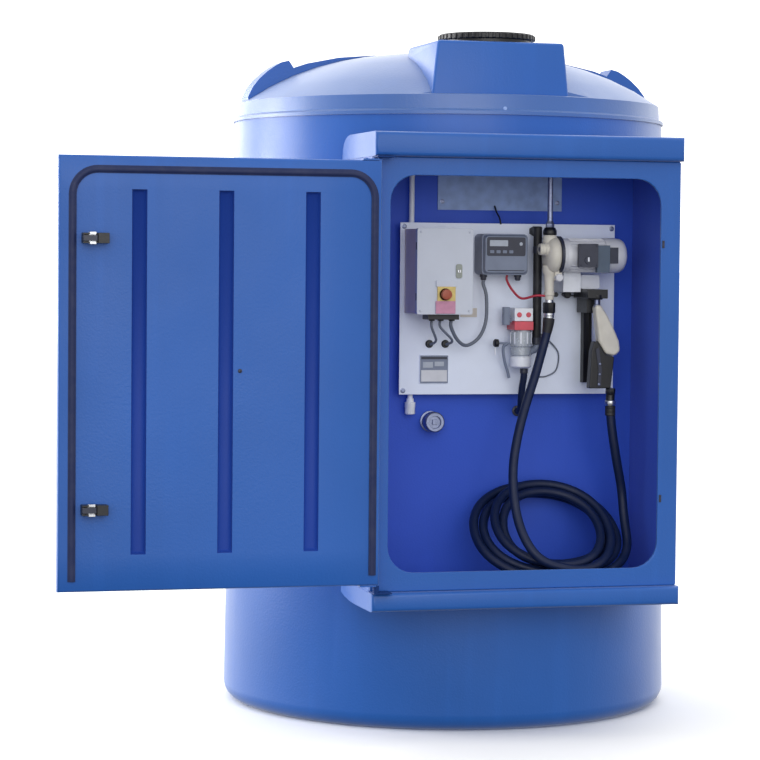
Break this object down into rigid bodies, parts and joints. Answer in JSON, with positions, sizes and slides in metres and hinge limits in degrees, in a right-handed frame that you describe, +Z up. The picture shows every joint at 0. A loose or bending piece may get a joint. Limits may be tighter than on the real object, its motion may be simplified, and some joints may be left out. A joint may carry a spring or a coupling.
{
  "type": "vertical storage tank with dispensing cabinet",
  "caption": "Round moulded storage tank with a domed top, inspection neck and a front cabinet that holds a pump, panel, coiled hose and nozzle behind a hinged door.",
  "frame": {"origin": "centre of the tank's flat base, on the ground", "axes": "+Z up, the cabinet faces -Y, the open door reaches towards -X"},
  "size_m": [2.298, 1.8293, 2.2973],
  "materials": {
    "moulded_blue": "satin moulded polyethylene",
    "panel_white": "light grey powder coat",
    "grey_plastic": "fine textured",
    "black_plastic": "satin",
    "black_rubber": "matt",
    "cream_plastic": "satin",
    "bright_steel": "brushed",
    "red_plastic": "gloss"
  },
  "bodies": {
    "tank": {"tank_shell": "moulded_blue", "tank_floor": "moulded_blue", "tank_dome": "moulded_blue", "rib_left": "moulded_blue", "rib_right": "moulded_blue", "inspection_neck": "moulded_blue", "inspection_lid": "black_plastic", "cabinet_roof": "moulded_blue", "cabinet_floor": "moulded_blue", "cabinet_side_left": "moulded_blue", "cabinet_side_right": "moulded_blue", "cabinet_back": "moulded_blue", "cabinet_front": "moulded_blue", "hinge_top": "moulded_blue", "hinge_bottom": "moulded_blue", "panel_plate": "panel_white", "control_box": "panel_white", "display_unit": "grey_plastic", "top_plate": "grey_plastic", "cable_left": "grey_plastic", "cable_middle": "grey_plastic", "cable_loop": "grey_plastic", "cable_red": "red_plastic", "pump_body": "cream_plastic", "supply_pipe": "cream_plastic", "pump_motor": "cream_plastic", "terminal_box": "black_plastic", "pump_outlet": "black_plastic", "valve_head": "red_plastic", "valve_bowl": "cream_plastic", "drain_coupling": "bright_steel", "vent_pipe": "cream_plastic", "nozzle_holster": "black_plastic", "nozzle_body": "cream_plastic", "nozzle_grip": "black_plastic", "nozzle_swivel": "bright_steel", "hose_coil": "black_rubber", "hose_drop": "black_rubber", "hose_rise": "black_rubber", "riser_hose": "black_rubber", "filter_hose": "black_rubber"},
    "door": {"door_panel": "moulded_blue", "door_seal": "black_rubber", "latch_upper": "black_plastic", "latch_lower": "black_plastic"},
    "upper_bolt": {"bolt_upper": "bright_steel"},
    "lower_bolt": {"bolt_lower": "bright_steel"},
    "switch": {"switch_knob": "red_plastic"}
  },
  "joints": [
    {"name": "door_hinge", "type": "hinge", "parent": "tank", "child": "door", "pos_m": [-0.5085, -0.978, 1.188], "axis": [0, 0, 1], "range_deg": [0, 180]},
    {"name": "upper_bolt_slide", "type": "slide", "parent": "door", "child": "upper_bolt", "axis": [-1, 0, 0], "range_m": [0, 0.035]},
    {"name": "lower_bolt_slide", "type": "slide", "parent": "door", "child": "lower_bolt", "axis": [-1, 0, 0], "range_m": [0, 0.035]},
    {"name": "switch_turn", "type": "hinge", "parent": "tank", "child": "switch", "pos_m": [-0.218, -0.7356, 1.433], "axis": [0, 1, 0], "range_deg": [0, 90]}
  ]
}
